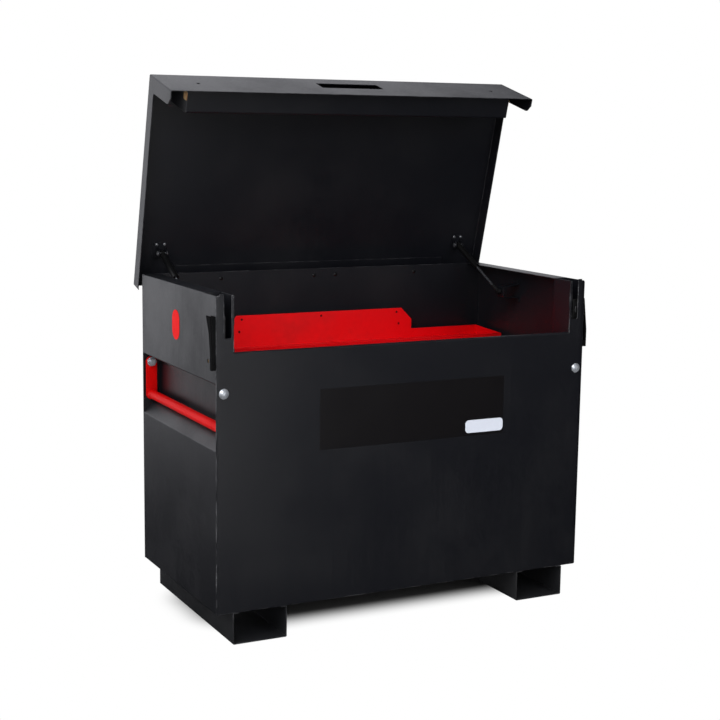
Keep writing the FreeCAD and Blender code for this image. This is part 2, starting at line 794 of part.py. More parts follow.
def lidBracket():
    # Clevis under the lid panel: base plate, two cheeks, and the holes for its pin.
    y = strutLidY
    rear = y + bracketBehindPin
    ahead = rear - bracketAlong
    inner = strutOut + bracketAside - bracketWidth / 2
    outer = inner + bracketWidth
    base = plate([(inner, ahead, bracketRound), (outer, ahead, bracketRound), (outer, rear, bracketRound),
                  (inner, rear, bracketRound)], xy, Vector(0, 0, clevisThick))
    base.translate(Vector(0, 0, lidUnder - clevisThick))
    tipZ = strutLidZ - cheekTip
    hole = circle(yz(y, strutLidZ), strutPinRadius, Vector(1, 0, 0))
    cheeks = []
    for near in (strutOut - clevisGap / 2 - clevisThick, strutOut + clevisGap / 2):
        cheek = plate([(y - cheekRoot, lidUnder), (y - cheekTip, tipZ, cheekRound),
                       (y + cheekTip, tipZ, cheekRound), (y + cheekRoot, lidUnder)],
                      yz, Vector(clevisThick, 0, 0), [hole])
        cheek.translate(Vector(near, 0, 0))
        cheeks.append(cheek)
    return base.fuse(cheeks).removeSplitter()


def bracketBolts():
    # The clevis pin with its two heads, and two screws through the base plate.
    reach = Vector(clevisGap / 2 + clevisThick, 0, 0)
    centre = Vector(strutOut, strutLidY, strutLidZ)
    pieces = []
    pin = rod(centre - reach, centre + reach, strutPinRadius)
    for side in (-1, 1):
        seat = centre + reach * side
        pin = pin.fuse(rod(seat, seat + Vector(side * pinHead, 0, 0), pinHeadRadius))
    pieces.append(pin.removeSplitter())
    for x in (strutOut + screwOuter, strutOut - screwInner):
        place = Vector(x, strutLidY - screwAhead, lidUnder - clevisThick)
        pieces.append(dome(place, Vector(0, 0, -1), screwRadius, screwHeight))
    return Part.makeCompound(pieces)


def handle():
    # Bail: round bar between two flat arms with rounded ends.
    bars = []
    barZ = handlePivotZ - handleReach
    reach = armFront + armThick / 2
    bars.append(rod(Vector(handleX, reach, barZ), Vector(handleX, -reach, barZ), handleBarRadius))
    near = handleX - armHalf
    far = handleX + armHalf
    low = barZ - armHalf
    high = handlePivotZ + armHalf
    end = armHalf * 0.999
    corners = [(near, low, end), (far, low, end), (far, high, end), (near, high, end)]
    hole = circle(xz(handleX, handlePivotZ), handleBoltRadius + runningGap, Vector(0, 1, 0))
    for start in (armFront, -armFront - armThick):
        arm = plate(corners, xz, Vector(0, armThick, 0), [hole])
        arm.translate(Vector(0, start, 0))
        bars.append(arm)
    return bars[0].fuse(bars[1:]).removeSplitter()


def handleBolts():
    # Domed bolts through the front and back walls, the pivots of the handle.
    bolts = []
    for side in (-1, 1):
        seat = Vector(handleX, side * boxDepth / 2, handlePivotZ)
        outward = Vector(0, side, 0)
        head = dome(seat, outward, domeRadius, domeHeight)
        tip = seat - outward * (sheet + armGap + armThick + washerThick + nutHeight + boltPastNut)
        bolts.append(head.fuse(rod(seat + outward, tip, handleBoltRadius)))
    return Part.makeCompound(bolts)


def handleNuts():
    nuts = []
    armFaceY = boxDepth / 2 - sheet - armGap - armThick
    for side in (-1, 1):
        inward = Vector(0, -side, 0)
        seat = Vector(handleX, side * (armFaceY - washerGap), handlePivotZ)
        washer = rod(seat, seat + inward * washerThick, washerRadius)
        washer = washer.cut(rod(seat - inward, seat + inward * nutHeight, handleBoltRadius))
        nut = hexNut(seat + inward * washerThick, inward, handleBoltRadius)
        spacerSeat = Vector(handleX, side * (boxDepth / 2 - sheet), handlePivotZ)
        spacer = rod(spacerSeat, spacerSeat + inward * (armGap - washerGap), handleBoltRadius + spacerWall)
        spacer = spacer.cut(rod(spacerSeat - inward, spacerSeat + inward * armGap, handleBoltRadius))
        nuts += [washer, nut, spacer]
    return Part.makeCompound(nuts)


def toolTray():
    # Shallow folded tray with an upstand along part of its back edge.
    top = trayFloor + trayLip
    rear = trayFloor + trayEndRise
    floor = block(-trayHalf, trayHalf, trayFront, trayBack, trayFloor, trayFloor + trayWall)
    lip = block(-trayHalf, trayHalf, trayFront, trayFront + trayWall, trayFloor, top)
    hem = block(-trayHalf, trayHalf, trayFront, trayFront + 3 * trayWall, top - trayWall, top)
    pieces = [lip, hem]
    for side in (-1, 1):
        end = plate([(trayFront, trayFloor), (trayBack, trayFloor), (trayBack, rear), (trayFront, top)],
                    yz, Vector(trayWall, 0, 0))
        end.translate(Vector(trayHalf - trayWall if side > 0 else -trayHalf, 0, 0))
        pieces.append(end)
    high = trayFloor + trayBackHeight
    shoulder = high - trayBackChamfer
    half = [
        (trayHalf, trayFloor), (trayHalf, rear), (trayBackHalf, rear, edgeRound),
        (trayBackHalf, shoulder, edgeRound), (trayBackHalf - trayBackChamfer, high, edgeRound),
    ]
    raised = [(c[0] - trayBackAside,) + tuple(c[1:]) for c in half[2:]]
    mirror = [(-c[0] - trayBackAside,) + tuple(c[1:]) for c in reversed(half[2:])]
    corners = half[:2] + raised + mirror + [(-trayHalf, rear), (-trayHalf, trayFloor)]
    topOut = trayBackHalf - trayTopHoleInset
    endOut = trayBackHalf - trayEndHoleInset
    topZ = high - trayTopHoleDrop
    endZ = high - trayEndHoleDrop
    spots = [(0, topZ), (-topOut, topZ), (topOut, topZ), (-endOut, endZ), (endOut, endZ)]
    holes = [circle(xz(x - trayBackAside, z), trayHoleRadius, Vector(0, 1, 0)) for x, z in spots]
    upstand = plate(corners, xz, Vector(0, trayWall, 0), holes)
    upstand.translate(Vector(0, trayBack - trayWall, 0))
    return floor.fuse(pieces + [upstand]).removeSplitter()


def opened(shape):
    # Turns a piece of the lid from closed to open about the hinge pin.
    turned = shape.copy()
    turned.rotate(Vector(0, hingeY, hingeZ), Vector(1, 0, 0), -openAngle)
    return turned


pieces = {
    "front_panel": frontPanel(),
    "rear_panel": rearPanel(),
    "side_panel_right": sidePanel(),
    "floor_panel": floorPanel(),
    "fork_skid_right": skid(),
    "lock_housing_right": lockHousing(),
    "lock_case_right": lockCase(),
    "lock_bolt_right": lockBolt(),
    "key_barrel_right": keyBarrel(),
    "flap_guard_right": flapGuard(),
    "box_hinge_leaf": boxHingeLeaf(),
    "hinge_pin": hingePin(),
    "hinge_bolts": hingeBolts(),
    "strut_foot_right": strutFoot(),
    "strut_rod_right": strutRod(),
    "strut_cylinder_right": strutCylinder(),
    "strut_foot_pin_right": footPin(),
    "handle_right": handle(),
    "handle_bolts_right": handleBolts(),
    "handle_nuts_right": handleNuts(),
    "tool_tray": toolTray(),
    "lid_shell": opened(lidShell()),
    "lid_channel": opened(lidChannel()),
    "guide_plates": opened(guidePlates()),
    "lock_keep_right": opened(lockKeep()),
    "lid_hinge_leaf": opened(lidHingeLeaf()),
    "lid_bracket_right": opened(lidBracket()),
    "bracket_bolts_right": opened(bracketBolts()),
}

for name in list(pieces):
    if name.endswith("_right"):
        pieces[name.replace("_right", "_left")] = mirrored(pieces[name])

whole = Part.makeCompound(list(pieces.values())).optimalBoundingBox(False, False)
shift = -(whole.YMin + whole.YMax) / 2
print("shift along Y %.4f" % shift)
print("size %.2f x %.2f x %.2f" % (whole.XLength, whole.YLength, whole.ZLength))
foot, along, length = strutLine()
print("strut foot", foot, "along", along, "open length %.3f" % length)

for name, shape in sorted(pieces.items()):
    moved = shape.copy()
    moved.translate(Vector(0, shift, 0))
    if not moved.isValid():
        print("not valid:", name)
    moved.exportStep("parts/%s.step" % name)
print("nodes", len(pieces))
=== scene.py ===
import math

import bmesh
import bpy
from mathutils import Matrix, Vector, noise


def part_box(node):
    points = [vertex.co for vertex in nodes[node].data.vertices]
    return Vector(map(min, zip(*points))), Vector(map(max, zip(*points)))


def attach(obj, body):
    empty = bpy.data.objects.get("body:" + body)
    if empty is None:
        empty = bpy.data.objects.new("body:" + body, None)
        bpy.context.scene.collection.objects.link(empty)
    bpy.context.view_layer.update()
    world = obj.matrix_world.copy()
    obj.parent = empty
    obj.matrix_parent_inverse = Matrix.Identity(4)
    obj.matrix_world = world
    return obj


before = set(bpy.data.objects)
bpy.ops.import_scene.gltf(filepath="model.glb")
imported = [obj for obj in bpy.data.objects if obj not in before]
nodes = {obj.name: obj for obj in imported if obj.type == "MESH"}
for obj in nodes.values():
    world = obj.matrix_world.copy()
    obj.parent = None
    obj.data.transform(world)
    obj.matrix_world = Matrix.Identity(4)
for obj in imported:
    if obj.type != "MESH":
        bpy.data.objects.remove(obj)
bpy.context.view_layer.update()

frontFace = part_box("front_panel")[0].y
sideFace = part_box("side_panel_left")[0].x
print("frame loaded:", len(nodes), "pieces")


# Shader maths: a socket with ordinary arithmetic, and a finish that makes the nodes

edgeMask = {"samples": 4, "from": 0.01, "to": 0.14}  # how far the rounded normal turns from the flat one


class Wire:
    def __init__(self, finish, socket):
        self.finish = finish
        self.socket = socket

    def __add__(self, other):
        return self.finish.math("ADD", self, other)

    def __sub__(self, other):
        return self.finish.math("SUBTRACT", self, other)

    def __rsub__(self, other):
        return self.finish.math("SUBTRACT", other, self)

    def __mul__(self, other):
        return self.finish.math("MULTIPLY", self, other)

    __radd__ = __add__
    __rmul__ = __mul__


class Finish:
    def __init__(self, owner, output="ShaderNodeOutputMaterial", shader="ShaderNodeBsdfPrincipled"):
        owner.use_nodes = True
        self.owner = owner
        self.tree = owner.node_tree
        self.tree.nodes.clear()
        self.shader = self.tree.nodes.new(shader)
        self.tree.links.new(self.shader.outputs[0], self.tree.nodes.new(output).inputs["Surface"])

    def feed(self, socket, value):
        if isinstance(value, Wire):
            self.tree.links.new(value.socket, socket)
        else:
            socket.default_value = value

    def set(self, values):
        for name, value in values.items():
            self.feed(self.shader.inputs[name], value)

    def node(self, kind, settings=None, inputs=None, output=0):
        made = self.tree.nodes.new(kind)
        for name, value in (settings or {}).items():
            setattr(made, name, value)
        for name, value in (inputs or {}).items():
            self.feed(made.inputs[name], value)
        return Wire(self, made.outputs[output])

    def math(self, operation, *values):
        return self.node("ShaderNodeMath", {"operation": operation}, dict(enumerate(values)))

    def vector(self, operation, *values, output="Vector"):
        return self.node("ShaderNodeVectorMath", {"operation": operation}, dict(enumerate(values)), output)

    def local(self):
        return self.node("ShaderNodeTexCoord", output="Object")

    def stretched(self, scale):
        return self.node("ShaderNodeMapping", None, {"Vector": self.local(), "Scale": scale})

    def noise(self, scale, detail, roughness, at=None):
        inputs = {"Vector": at or self.local(), "Scale": scale, "Detail": detail, "Roughness": roughness}
        return self.node("ShaderNodeTexNoise", None, inputs)

    def between(self, wire, low, high):
        inputs = {"Value": wire, "From Min": low, "From Max": high}
        return self.node("ShaderNodeMapRange", {"interpolation_type": "SMOOTHSTEP"}, inputs)

    def colour(self, mask, first, second):
        return self.node("ShaderNodeMix", {"data_type": "RGBA"}, {"Factor": mask, 6: first, 7: second}, 2)

    def rounded(self, radius):
        return self.node("ShaderNodeBevel", {"samples": edgeMask["samples"]}, {"Radius": radius})

    # Where the rounded normal leaves the flat one, which is along the edges
    def edges(self, soft):
        flat = self.node("ShaderNodeNewGeometry", output="Normal")
        turned = 1 - self.vector("DOT_PRODUCT", soft, flat, output="Value")
        return self.between(turned, edgeMask["from"], edgeMask["to"])

    def bump(self, height, depth, soft):
        return self.node("ShaderNodeBump", None, {"Strength": 1, "Distance": depth, "Height": height, "Normal": soft})


def newFinish(name, values):
    finish = Finish(bpy.data.materials.new(name))
    finish.set(values)
    return finish


# A colour as it looks on screen, given in steps of 255
def rgb(*tones):
    parts = [tone / 255 for tone in tones]
    return (*(part / 12.92 if part <= 0.04045 else ((part + 0.055) / 1.055) ** 2.4 for part in parts), 1)


# Black powder coat: a fine peel, a slow unevenness in its gloss, a little dust, and lighter edges, partly where it has
# rubbed thin and partly painted highlight lines along the edges

blackPaint = {
    "colour": rgb(12, 13, 18), "light": rgb(17, 18, 24), "worn": rgb(96, 96, 100), "dustColour": rgb(92, 90, 88),
    "roughness": 0.38, "mottleGloss": 0.10, "cloudGloss": 0.16, "dustGloss": 0.12, "specular": 0.5,
    "peelScale": 520, "mottleScale": 95, "cloudScale": 3.2, "peel": 0.7, "mottle": 0.5, "depth": 0.00035,
    "scuffScale": 26, "scuffed": (0.42, 0.62), "wear": 0.45, "edgeRadius": 0.0036,
    "streaks": (90, 90, 3), "streakShare": 0.35, "dusty": (0.55, 1.05), "dust": 0.025}


def powderCoat(name, look, bend=None):
    coat = newFinish(name, {"IOR": 1.5, "Specular IOR Level": look["specular"]})
    peel = coat.noise(look["peelScale"], detail=2, roughness=0.6)
    mottle = coat.noise(look["mottleScale"], detail=3, roughness=0.55)
    cloud = coat.noise(look["cloudScale"], detail=4, roughness=0.6)
    scuff = coat.noise(look["scuffScale"], detail=5, roughness=0.65)
    streak = coat.noise(1, detail=4, roughness=0.6, at=coat.stretched(look["streaks"]))
    soft = coat.rounded(look["edgeRadius"])
    # Lighter along scuffed edges: rubbed paint, and also painted highlight lines where the rounded edges would catch
    # light
    rubbedAndHighlit = coat.edges(soft) * coat.between(scuff, *look["scuffed"])
    dust = coat.between(cloud + look["streakShare"] * streak, *look["dusty"])
    tone = coat.colour(mottle, look["colour"], look["light"])
    dusty = coat.colour(dust * look["dust"], tone, look["dustColour"])
    gloss = look["mottleGloss"] * (mottle - 0.5) + look["cloudGloss"] * (cloud - 0.5) + look["dustGloss"] * dust
    normal = coat.bump(look["peel"] * peel + look["mottle"] * mottle, look["depth"], soft)
    if bend:
        normal = folded(coat, bend, normal)
    coat.set({
        "Base Color": coat.colour(rubbedAndHighlit * look["wear"], dusty, look["worn"]),
        "Roughness": look["roughness"] + gloss, "Normal": normal})
    return coat.owner


# The folded outer edges of the front panel, as a round shoulder in its normals, fuller on the ears than below
earBend = {"edge": -sideFace, "reach": 0.014, "slope": 0.62, "ears": (0.86, 0.91), "below": 0.6}


def folded(coat, bend, normal):
    x, z = (coat.node("ShaderNodeSeparateXYZ", None, {0: coat.local()}, axis) for axis in ("X", "Z"))
    past = coat.math("MAXIMUM", coat.math("ABSOLUTE", x) - (bend["edge"] - bend["reach"]), 0)
    share = bend["below"] + (1 - bend["below"]) * coat.between(z, *bend["ears"])
    return coat.bump(-bend["slope"] / (2 * bend["reach"]) * (past * past * share), 1, normal)


guardPaint = dict(
    blackPaint, colour=rgb(9, 9, 10), light=rgb(13, 13, 14), worn=rgb(60, 60, 63), roughness=0.62, specular=0.02,
    edgeRadius=0.0008, dust=0.02, wear=0.35)
skidPaint = dict(blackPaint, colour=rgb(26, 27, 30), light=rgb(36, 37, 40), dust=0.12)
bracketPaint = dict(blackPaint, edgeRadius=0.0007, wear=0.2, mottleScale=140)
# On the front panel the lighter edges are strong: mostly painted highlight lines on the slot rims and folded edges,
# with some rubbed paint
frontPaint = dict(blackPaint, worn=rgb(128, 128, 132), wear=0.95)
strutPaint = dict(
    blackPaint, colour=rgb(9, 9, 10), light=rgb(13, 13, 14), roughness=0.34, specular=0.25, edgeRadius=0.0005,
    mottleScale=160, depth=0.0001, wear=0.3)
casePaint = dict(
    blackPaint, colour=rgb(17, 17, 18), light=rgb(26, 26, 27), roughness=0.46, mottleScale=60, depth=0.0002,
    edgeRadius=0.0008, wear=0.7)
panelBlack = powderCoat("black_powder_coat", blackPaint)
bracketBlack = powderCoat("black_bracket_paint", bracketPaint)
frontBlack = powderCoat("black_front_panel", frontPaint, earBend)
guardBlack = powderCoat("black_guard_paint", guardPaint)
skidBlack = powderCoat("black_skid_paint", skidPaint)
strutBlack = powderCoat("strut_black", strutPaint)
caseBlack = powderCoat("case_black", casePaint)


# Red powder coat of the tray and the handles

redPaint = {
    "colour": rgb(228, 4, 14), "deep": rgb(216, 2, 11), "grimeColour": rgb(92, 6, 8), "bare": rgb(60, 58, 58),
    "roughness": 0.34, "mottleGloss": 0.08, "cloudGloss": 0.14, "grimeGloss": 0.1, "specular": 0.3,
    "peelScale": 480, "mottleScale": 70, "cloudScale": 6, "peel": 0.7, "mottle": 0.4, "depth": 0.0003,
    "chipScale": 140, "chipped": (0.55, 0.66), "chips": 0.6, "edgeRadius": 0.0012, "grimy": (0.5, 0.8), "grime": 0.22}
handlePaint = dict(
    redPaint, colour=rgb(208, 9, 9), deep=rgb(197, 5, 6), roughness=0.42, specular=0.07, grime=0.3)


def redCoat(name, look):
    coat = newFinish(name, {"IOR": 1.5, "Specular IOR Level": look["specular"]})
    peel = coat.noise(look["peelScale"], detail=2, roughness=0.6)
    mottle = coat.noise(look["mottleScale"], detail=3, roughness=0.5)
    cloud = coat.noise(look["cloudScale"], detail=4, roughness=0.6)
    soft = coat.rounded(look["edgeRadius"])
    flakes = coat.noise(look["chipScale"], detail=4, roughness=0.7)
    chips = coat.edges(soft) * coat.between(flakes, *look["chipped"])
    grime = coat.between(cloud, *look["grimy"])
    tone = coat.colour(mottle, look["colour"], look["deep"])
    dirty = coat.colour(grime * look["grime"], tone, look["grimeColour"])
    gloss = look["cloudGloss"] * (cloud - 0.5) + look["mottleGloss"] * (mottle - 0.5) + look["grimeGloss"] * grime
    coat.set({
        "Base Color": coat.colour(chips * look["chips"], dirty, look["bare"]),
        "Roughness": look["roughness"] + gloss,
        "Normal": coat.bump(look["peel"] * peel + look["mottle"] * mottle, look["depth"], soft)})
    return coat.owner


trayRed = redCoat("red_tray_paint", redPaint)
handleRed = redCoat("red_handle_paint", handlePaint)


# Plated and bare metals: a fine grain, drawn out on the strut rods, a slow change of tint and dull spots

zincPlate = {
    "colour": rgb(214, 218, 225), "tint": rgb(192, 198, 207), "dull": rgb(150, 153, 159), "metallic": 0.72,
    "roughness": 0.31, "grainGloss": 0.18, "cloudGloss": 0.12, "spotGloss": 0.2,
    "grain": (300, 300, 300), "cloudScale": 60, "spotScale": 300, "tinted": (0.35, 0.65), "spotted": (0.56, 0.72),
    "spots": 0.5, "edgeRadius": 0.0006, "cloudBump": 0.5, "depth": 0.00012}
goldZinc = dict(
    zincPlate, colour=rgb(240, 212, 150), tint=rgb(226, 168, 118), dull=rgb(150, 116, 70), roughness=0.34)
rodChrome = dict(
    zincPlate, metallic=1, colour=rgb(176, 178, 182), tint=rgb(158, 160, 166), roughness=0.2, grain=(900, 60, 60),
    spots=0.15)
keyBrass = dict(zincPlate, colour=rgb(198, 158, 88), tint=rgb(176, 136, 72), dull=rgb(110, 84, 48), roughness=0.3)
pinSteel = dict(
    zincPlate, metallic=1, colour=rgb(150, 150, 152), tint=rgb(128, 128, 132), dull=rgb(96, 84, 74), roughness=0.38)
screwZinc = dict(zincPlate, colour=rgb(150, 152, 156), tint=rgb(126, 128, 134), dull=rgb(90, 88, 84), roughness=0.36)

# The black end piece of each strut's rod, as far as its reach from the pin, the same on both sides of the box
pinLow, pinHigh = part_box("strut_foot_pin_left")
rodEnd = {
    "pin": (0, (pinLow.y + pinHigh.y) / 2, (pinLow.z + pinHigh.z) / 2), "reach": 0.0405, "blend": 0.0004,
    "colour": rgb(16, 16, 17), "gloss": 0.25}


def plate(name, look, end=None):
    metal = newFinish(name, {"Metallic": look["metallic"]})
    grain = metal.noise(1, detail=3, roughness=0.6, at=metal.stretched(look["grain"]))
    cloud = metal.noise(look["cloudScale"], detail=4, roughness=0.6)
    spots = metal.between(metal.noise(look["spotScale"], detail=5, roughness=0.7), *look["spotted"])
    soft = metal.rounded(look["edgeRadius"])
    tint = metal.colour(metal.between(cloud, *look["tinted"]), look["colour"], look["tint"])
    base = metal.colour(spots * look["spots"], tint, look["dull"])
    gloss = look["grainGloss"] * (grain - 0.5) + look["cloudGloss"] * (cloud - 0.5) + look["spotGloss"] * spots
    roughness = look["roughness"] + gloss
    if end:
        sideways = metal.vector("MULTIPLY", metal.local(), (0, 1, 1))
        fromPin = metal.vector("DISTANCE", sideways, end["pin"], output="Value")
        black = 1 - metal.between(fromPin, end["reach"] - end["blend"], end["reach"] + end["blend"])
        base = metal.colour(black, base, end["colour"])
        roughness = roughness + end["gloss"] * black
        metal.set({"Metallic": look["metallic"] * (1 - black)})
    metal.set({
        "Base Color": base, "Roughness": roughness,
        "Normal": metal.bump(grain + look["cloudBump"] * cloud, look["depth"], soft)})
    return metal.owner


boltZinc = plate("zinc_plate", zincPlate)
steel = plate("pin_steel", pinSteel)
finishOf = {
    "front_panel": frontBlack, "fork_skid": skidBlack, "flap_guard": guardBlack,
    "tool_tray": trayRed, "handle_left": handleRed, "handle_right": handleRed,
    "handle_bolts": boltZinc, "handle_nuts": boltZinc, "bracket_bolts": plate("screw_zinc", screwZinc),
    "guide_plates": plate("gold_zinc", goldZinc), "hinge_pin": steel, "hinge_bolts": strutBlack,
    "strut_cylinder": strutBlack, "strut_rod": plate("rod_chrome", rodChrome, rodEnd), "strut_foot_pin": strutBlack,
    "strut_foot": bracketBlack, "lid_bracket": bracketBlack, "lock_housing": bracketBlack, "lock_keep": bracketBlack,
    "lock_case": caseBlack, "lock_bolt": steel, "key_barrel": plate("key_brass", keyBrass)}
for name, piece in nodes.items():
    plain = name.replace("_left", "").replace("_right", "")
    chosen = finishOf.get(name) or finishOf.get(plain) or panelBlack
    if not piece.data.materials:
        piece.data.materials.append(chosen)
    for spot in range(len(piece.data.materials)):
        piece.data.materials[spot] = chosen
print("finishes on the CAD pieces:", len(set(finishOf.values())) + 1)


# New pieces

def finished(name, mesh, material, body, smooth=False):
    bmesh.ops.recalc_face_normals(mesh, faces=mesh.faces)
    data = bpy.data.meshes.new(name)
    mesh.to_mesh(data)
    mesh.free()
    data.materials.append(material)
    for face in data.polygons:
        face.use_smooth = smooth
    piece = bpy.data.objects.new(name, data)
    bpy.context.scene.collection.objects.link(piece)
    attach(piece, body)
    return piece


# The edges that run along an axis for more than a length
def edgesAlong(mesh, axis, length):
    return [edge for edge in mesh.edges if abs((edge.verts[0].co - edge.verts[1].co)[axis]) > length]


def roundOff(mesh, edges, radius, segments):
    bmesh.ops.bevel(mesh, geom=edges, offset=radius, segments=segments, profile=0.5, affect="EDGES", material=-1)


# A flat film on a face that looks along an axis, with its outline rounded first and then its rim
def filmShape(axis, face, look):
    ranges = (look["across"], look["height"])
    size = [end - start for start, end in ranges]
    middle = [(start + end) / 2 for start, end in ranges]
    size.insert(axis, look["thick"])
    middle.insert(axis, face - look["thick"] / 2)
    mesh = bmesh.new()
    bmesh.ops.create_cube(mesh, size=1)
    bmesh.ops.scale(mesh, vec=size, verts=mesh.verts)
    roundOff(mesh, edgesAlong(mesh, axis, look["thick"] / 2), look["corner"], segments=8)
    short = edgesAlong(mesh, axis, look["thick"] / 2)
    roundOff(mesh, [edge for edge in mesh.edges if edge not in short], look["rim"], segments=2)
    bmesh.ops.translate(mesh, vec=middle, verts=mesh.verts)
    return mesh


def filmFinish(name, look):
    film = newFinish(name, {"IOR": look["ior"], "Specular IOR Level": look["specular"]})
    cloud = film.noise(look["cloudScale"], detail=3, roughness=0.5)
    grain = film.noise(look["grainScale"], detail=2, roughness=0.5)
    film.set({
        "Base Color": film.colour(cloud, look["colour"], look["other"]),
        "Roughness": look["roughness"] + look["cloudGloss"] * cloud,
        "Normal": film.bump(grain, look["depth"], film.rounded(look["edgeRadius"]))})
    return film.owner


# The label panel on the front, a thin satin film, bare
labelPanel = {
    "across": (-0.306, 0.339), "height": (0.568, 0.753), "thick": 0.0008, "corner": 0.003, "rim": 0.0003,
    "colour": rgb(11, 9, 11), "other": rgb(15, 13, 15), "roughness": 0.27, "cloudGloss": 0.08, "ior": 1.5,
    "specular": 0.5, "cloudScale": 9, "grainScale": 240, "depth": 0.00008, "edgeRadius": 0.0006}
mesh = filmShape(1, frontFace, labelPanel)
label = finished("label_panel", mesh, filmFinish("label_film", labelPanel), "box")

# A white sticker with round corners on the panel's lower right, bare
sticker = {
    "across": (0.200, 0.338), "height": (0.577, 0.618), "thick": 0.0005, "corner": 0.012, "rim": 0.0002,
    "colour": rgb(203, 208, 220), "other": rgb(195, 200, 212), "roughness": 0.32, "cloudGloss": 0.1, "ior": 1.45,
    "specular": 0.5, "cloudScale": 40, "grainScale": 600, "depth": 0.00005, "edgeRadius": 0.0004}
mesh = filmShape(1, frontFace - labelPanel["thick"], sticker)
finished("white_sticker", mesh, filmFinish("sticker_vinyl", sticker), "box")

# The tag on the left side, red film with rounded ends, bare
sideTag = {
    "across": (-0.055, 0.007), "height": (0.875, 0.967), "thick": 0.0009, "corner": 0.030, "rim": 0.0003,
    "colour": rgb(232, 18, 20), "other": rgb(220, 12, 15), "roughness": 0.42, "cloudGloss": 0.1, "ior": 1.5,
    "specular": 0.05, "cloudScale": 30, "grainScale": 500, "depth": 0.00006, "edgeRadius": 0.0005}
mesh = filmShape(0, sideFace, sideTag)
finished("side_tag", mesh, filmFinish("tag_vinyl", sideTag), "box")
print("label panel, sticker and side tag")

# Dull black film on the side walls under the guards, where the lid's corner flaps slide: a dark sheet that is painted
# shade, for the shadow in the gap behind each guard
shadeFilm = {"thick": 0.0003, "front": 0.001, "depth": 0.040}
mesh = bmesh.new()
for side, hand in ((-1, "left"), (1, "right")):
    low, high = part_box("flap_guard_" + hand)
    back = low.y + shadeFilm["depth"]
    front = frontFace + shadeFilm["front"]
    middle = (-side * (sideFace - shadeFilm["thick"] / 2), (front + back) / 2, (low.z + high.z) / 2)
    size = Matrix.Diagonal((shadeFilm["thick"], back - front, high.z - low.z, 1))
    bmesh.ops.create_cube(mesh, size=1, matrix=Matrix.Translation(middle) @ size)
finished("guard_liners", mesh, guardBlack, "box")

# Weld beads, painted with what they join: a rod cut into short lengths, swollen in ripples, thin at its ends
weld = {
    "radius": 0.0024, "pitch": 0.0026, "ripple": 0.16, "sides": 10, "tip": 0.35, "standOff": 0.4,
    "wander": 0.12, "wanderBetween": 40, "wanderAlong": 300}
guardWeld = {"start": 0.003, "end": 0.019, "behind": 0.0012}
skidWeld = {"places": (0.08, 0.45, 0.82), "length": 0.07}
housingWeld = {"places": (0.12, 0.62), "length": 0.05}


def addBead(mesh, start, end):
    start, end = Vector(start), Vector(end)
    length = (end - start).length
    rod = bmesh.new()
    bmesh.ops.create_cone(
        rod, cap_ends=True, segments=weld["sides"], radius1=weld["radius"], radius2=weld["radius"], depth=length)
    bmesh.ops.subdivide_edges(
        rod, edges=edgesAlong(rod, 2, length / 2), cuts=2 * int(length / weld["pitch"]), use_grid_fill=True)
    for vert in rod.verts:
        along = vert.co.z
        ending = min(1, (length / 2 - abs(along)) / (2 * weld["pitch"]) + weld["tip"])
        spot = start * weld["wanderBetween"] + Vector((0, 0, along * weld["wanderAlong"]))
        ripple = weld["ripple"] * math.cos(2 * math.pi * along / weld["pitch"])
        swell = ending * (1 + weld["wander"] * noise.noise(spot) + ripple)
        vert.co.x *= swell
        vert.co.y *= swell
    turn = Vector((0, 0, 1)).rotation_difference(end - start).to_matrix().to_4x4()
    bmesh.ops.transform(rod, matrix=Matrix.Translation((start + end) / 2) @ turn, verts=rod.verts)
    bead = bpy.data.meshes.new("bead")
    rod.to_mesh(bead)
    rod.free()
    mesh.from_mesh(bead)
    bpy.data.meshes.remove(bead)


def beads(name, runs, material, body):
    mesh = bmesh.new()
    for start, end in runs:
        addBead(mesh, start, end)
    finished(name, mesh, material, body, smooth=True)


corner = weld["radius"] * weld["standOff"]
guardRuns, skidRuns, housingRuns = [], [], []
for side, hand in ((-1, "left"), (1, "right")):
    low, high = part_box("flap_guard_" + hand)
    x, y = side * (corner - sideFace), frontFace + guardWeld["behind"]
    guardRuns.append(((x, y, low.z + guardWeld["start"]), (x, y, low.z + guardWeld["end"])))
    low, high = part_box("fork_skid_" + hand)
    for place in skidWeld["places"]:
        y = low.y + place * (high.y - low.y)
        for x in (low.x, high.x):
            skidRuns.append(((x, y, high.z - corner), (x, y + skidWeld["length"], high.z - corner)))
    low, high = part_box("lock_housing_" + hand)
    x = high.x if side < 0 else low.x
    for place in housingWeld["places"]:
        z = low.z + place * (high.z - low.z)
        housingRuns.append(((x, low.y, z), (x, low.y, z + housingWeld["length"])))
beads("guard_welds", guardRuns, guardBlack, "box")
beads("skid_welds", skidRuns, skidBlack, "box")
beads("housing_welds", housingRuns, panelBlack, "box")
print("guard liners and weld beads")


# What gloss sees of the studio, by its direction from the box: a bright wall behind on the left, a dark room in front

studio = {
    "bright": (-0.447, 0.873, 0.198), "back": 0.7, "backFrom": 0.36, "backTo": 0.54,
    "side": 0.24, "sideEdge": 0.58, "sideBlend": 0.3, "dim": 0.02, "fill": 0.42, "cool": (0.975, 0.98, 1.03, 1)}
white = (1, 1, 1, 1)


def studioGlow(finish, direction):
    towards = finish.vector("DOT_PRODUCT", direction, studio["bright"], output="Value")
    across = finish.vector("DOT_PRODUCT", direction, (1, 0, 0), output="Value")
    back = studio["back"] * finish.between(towards, studio["backFrom"], studio["backTo"])
    side = studio["side"] * finish.between(studio["sideEdge"] - across, 0, studio["sideBlend"])
    return studio["dim"] + side + back


def rays(finish):
    kinds = ("Is Camera Ray", "Is Glossy Ray", "Is Transmission Ray")
    return (finish.node("ShaderNodeLightPath", output=kind) for kind in kinds)


# Floor: matt, with a painted shadow that darkens its colour for the camera under the box on top of the shadow it
# catches there, and plain white further out

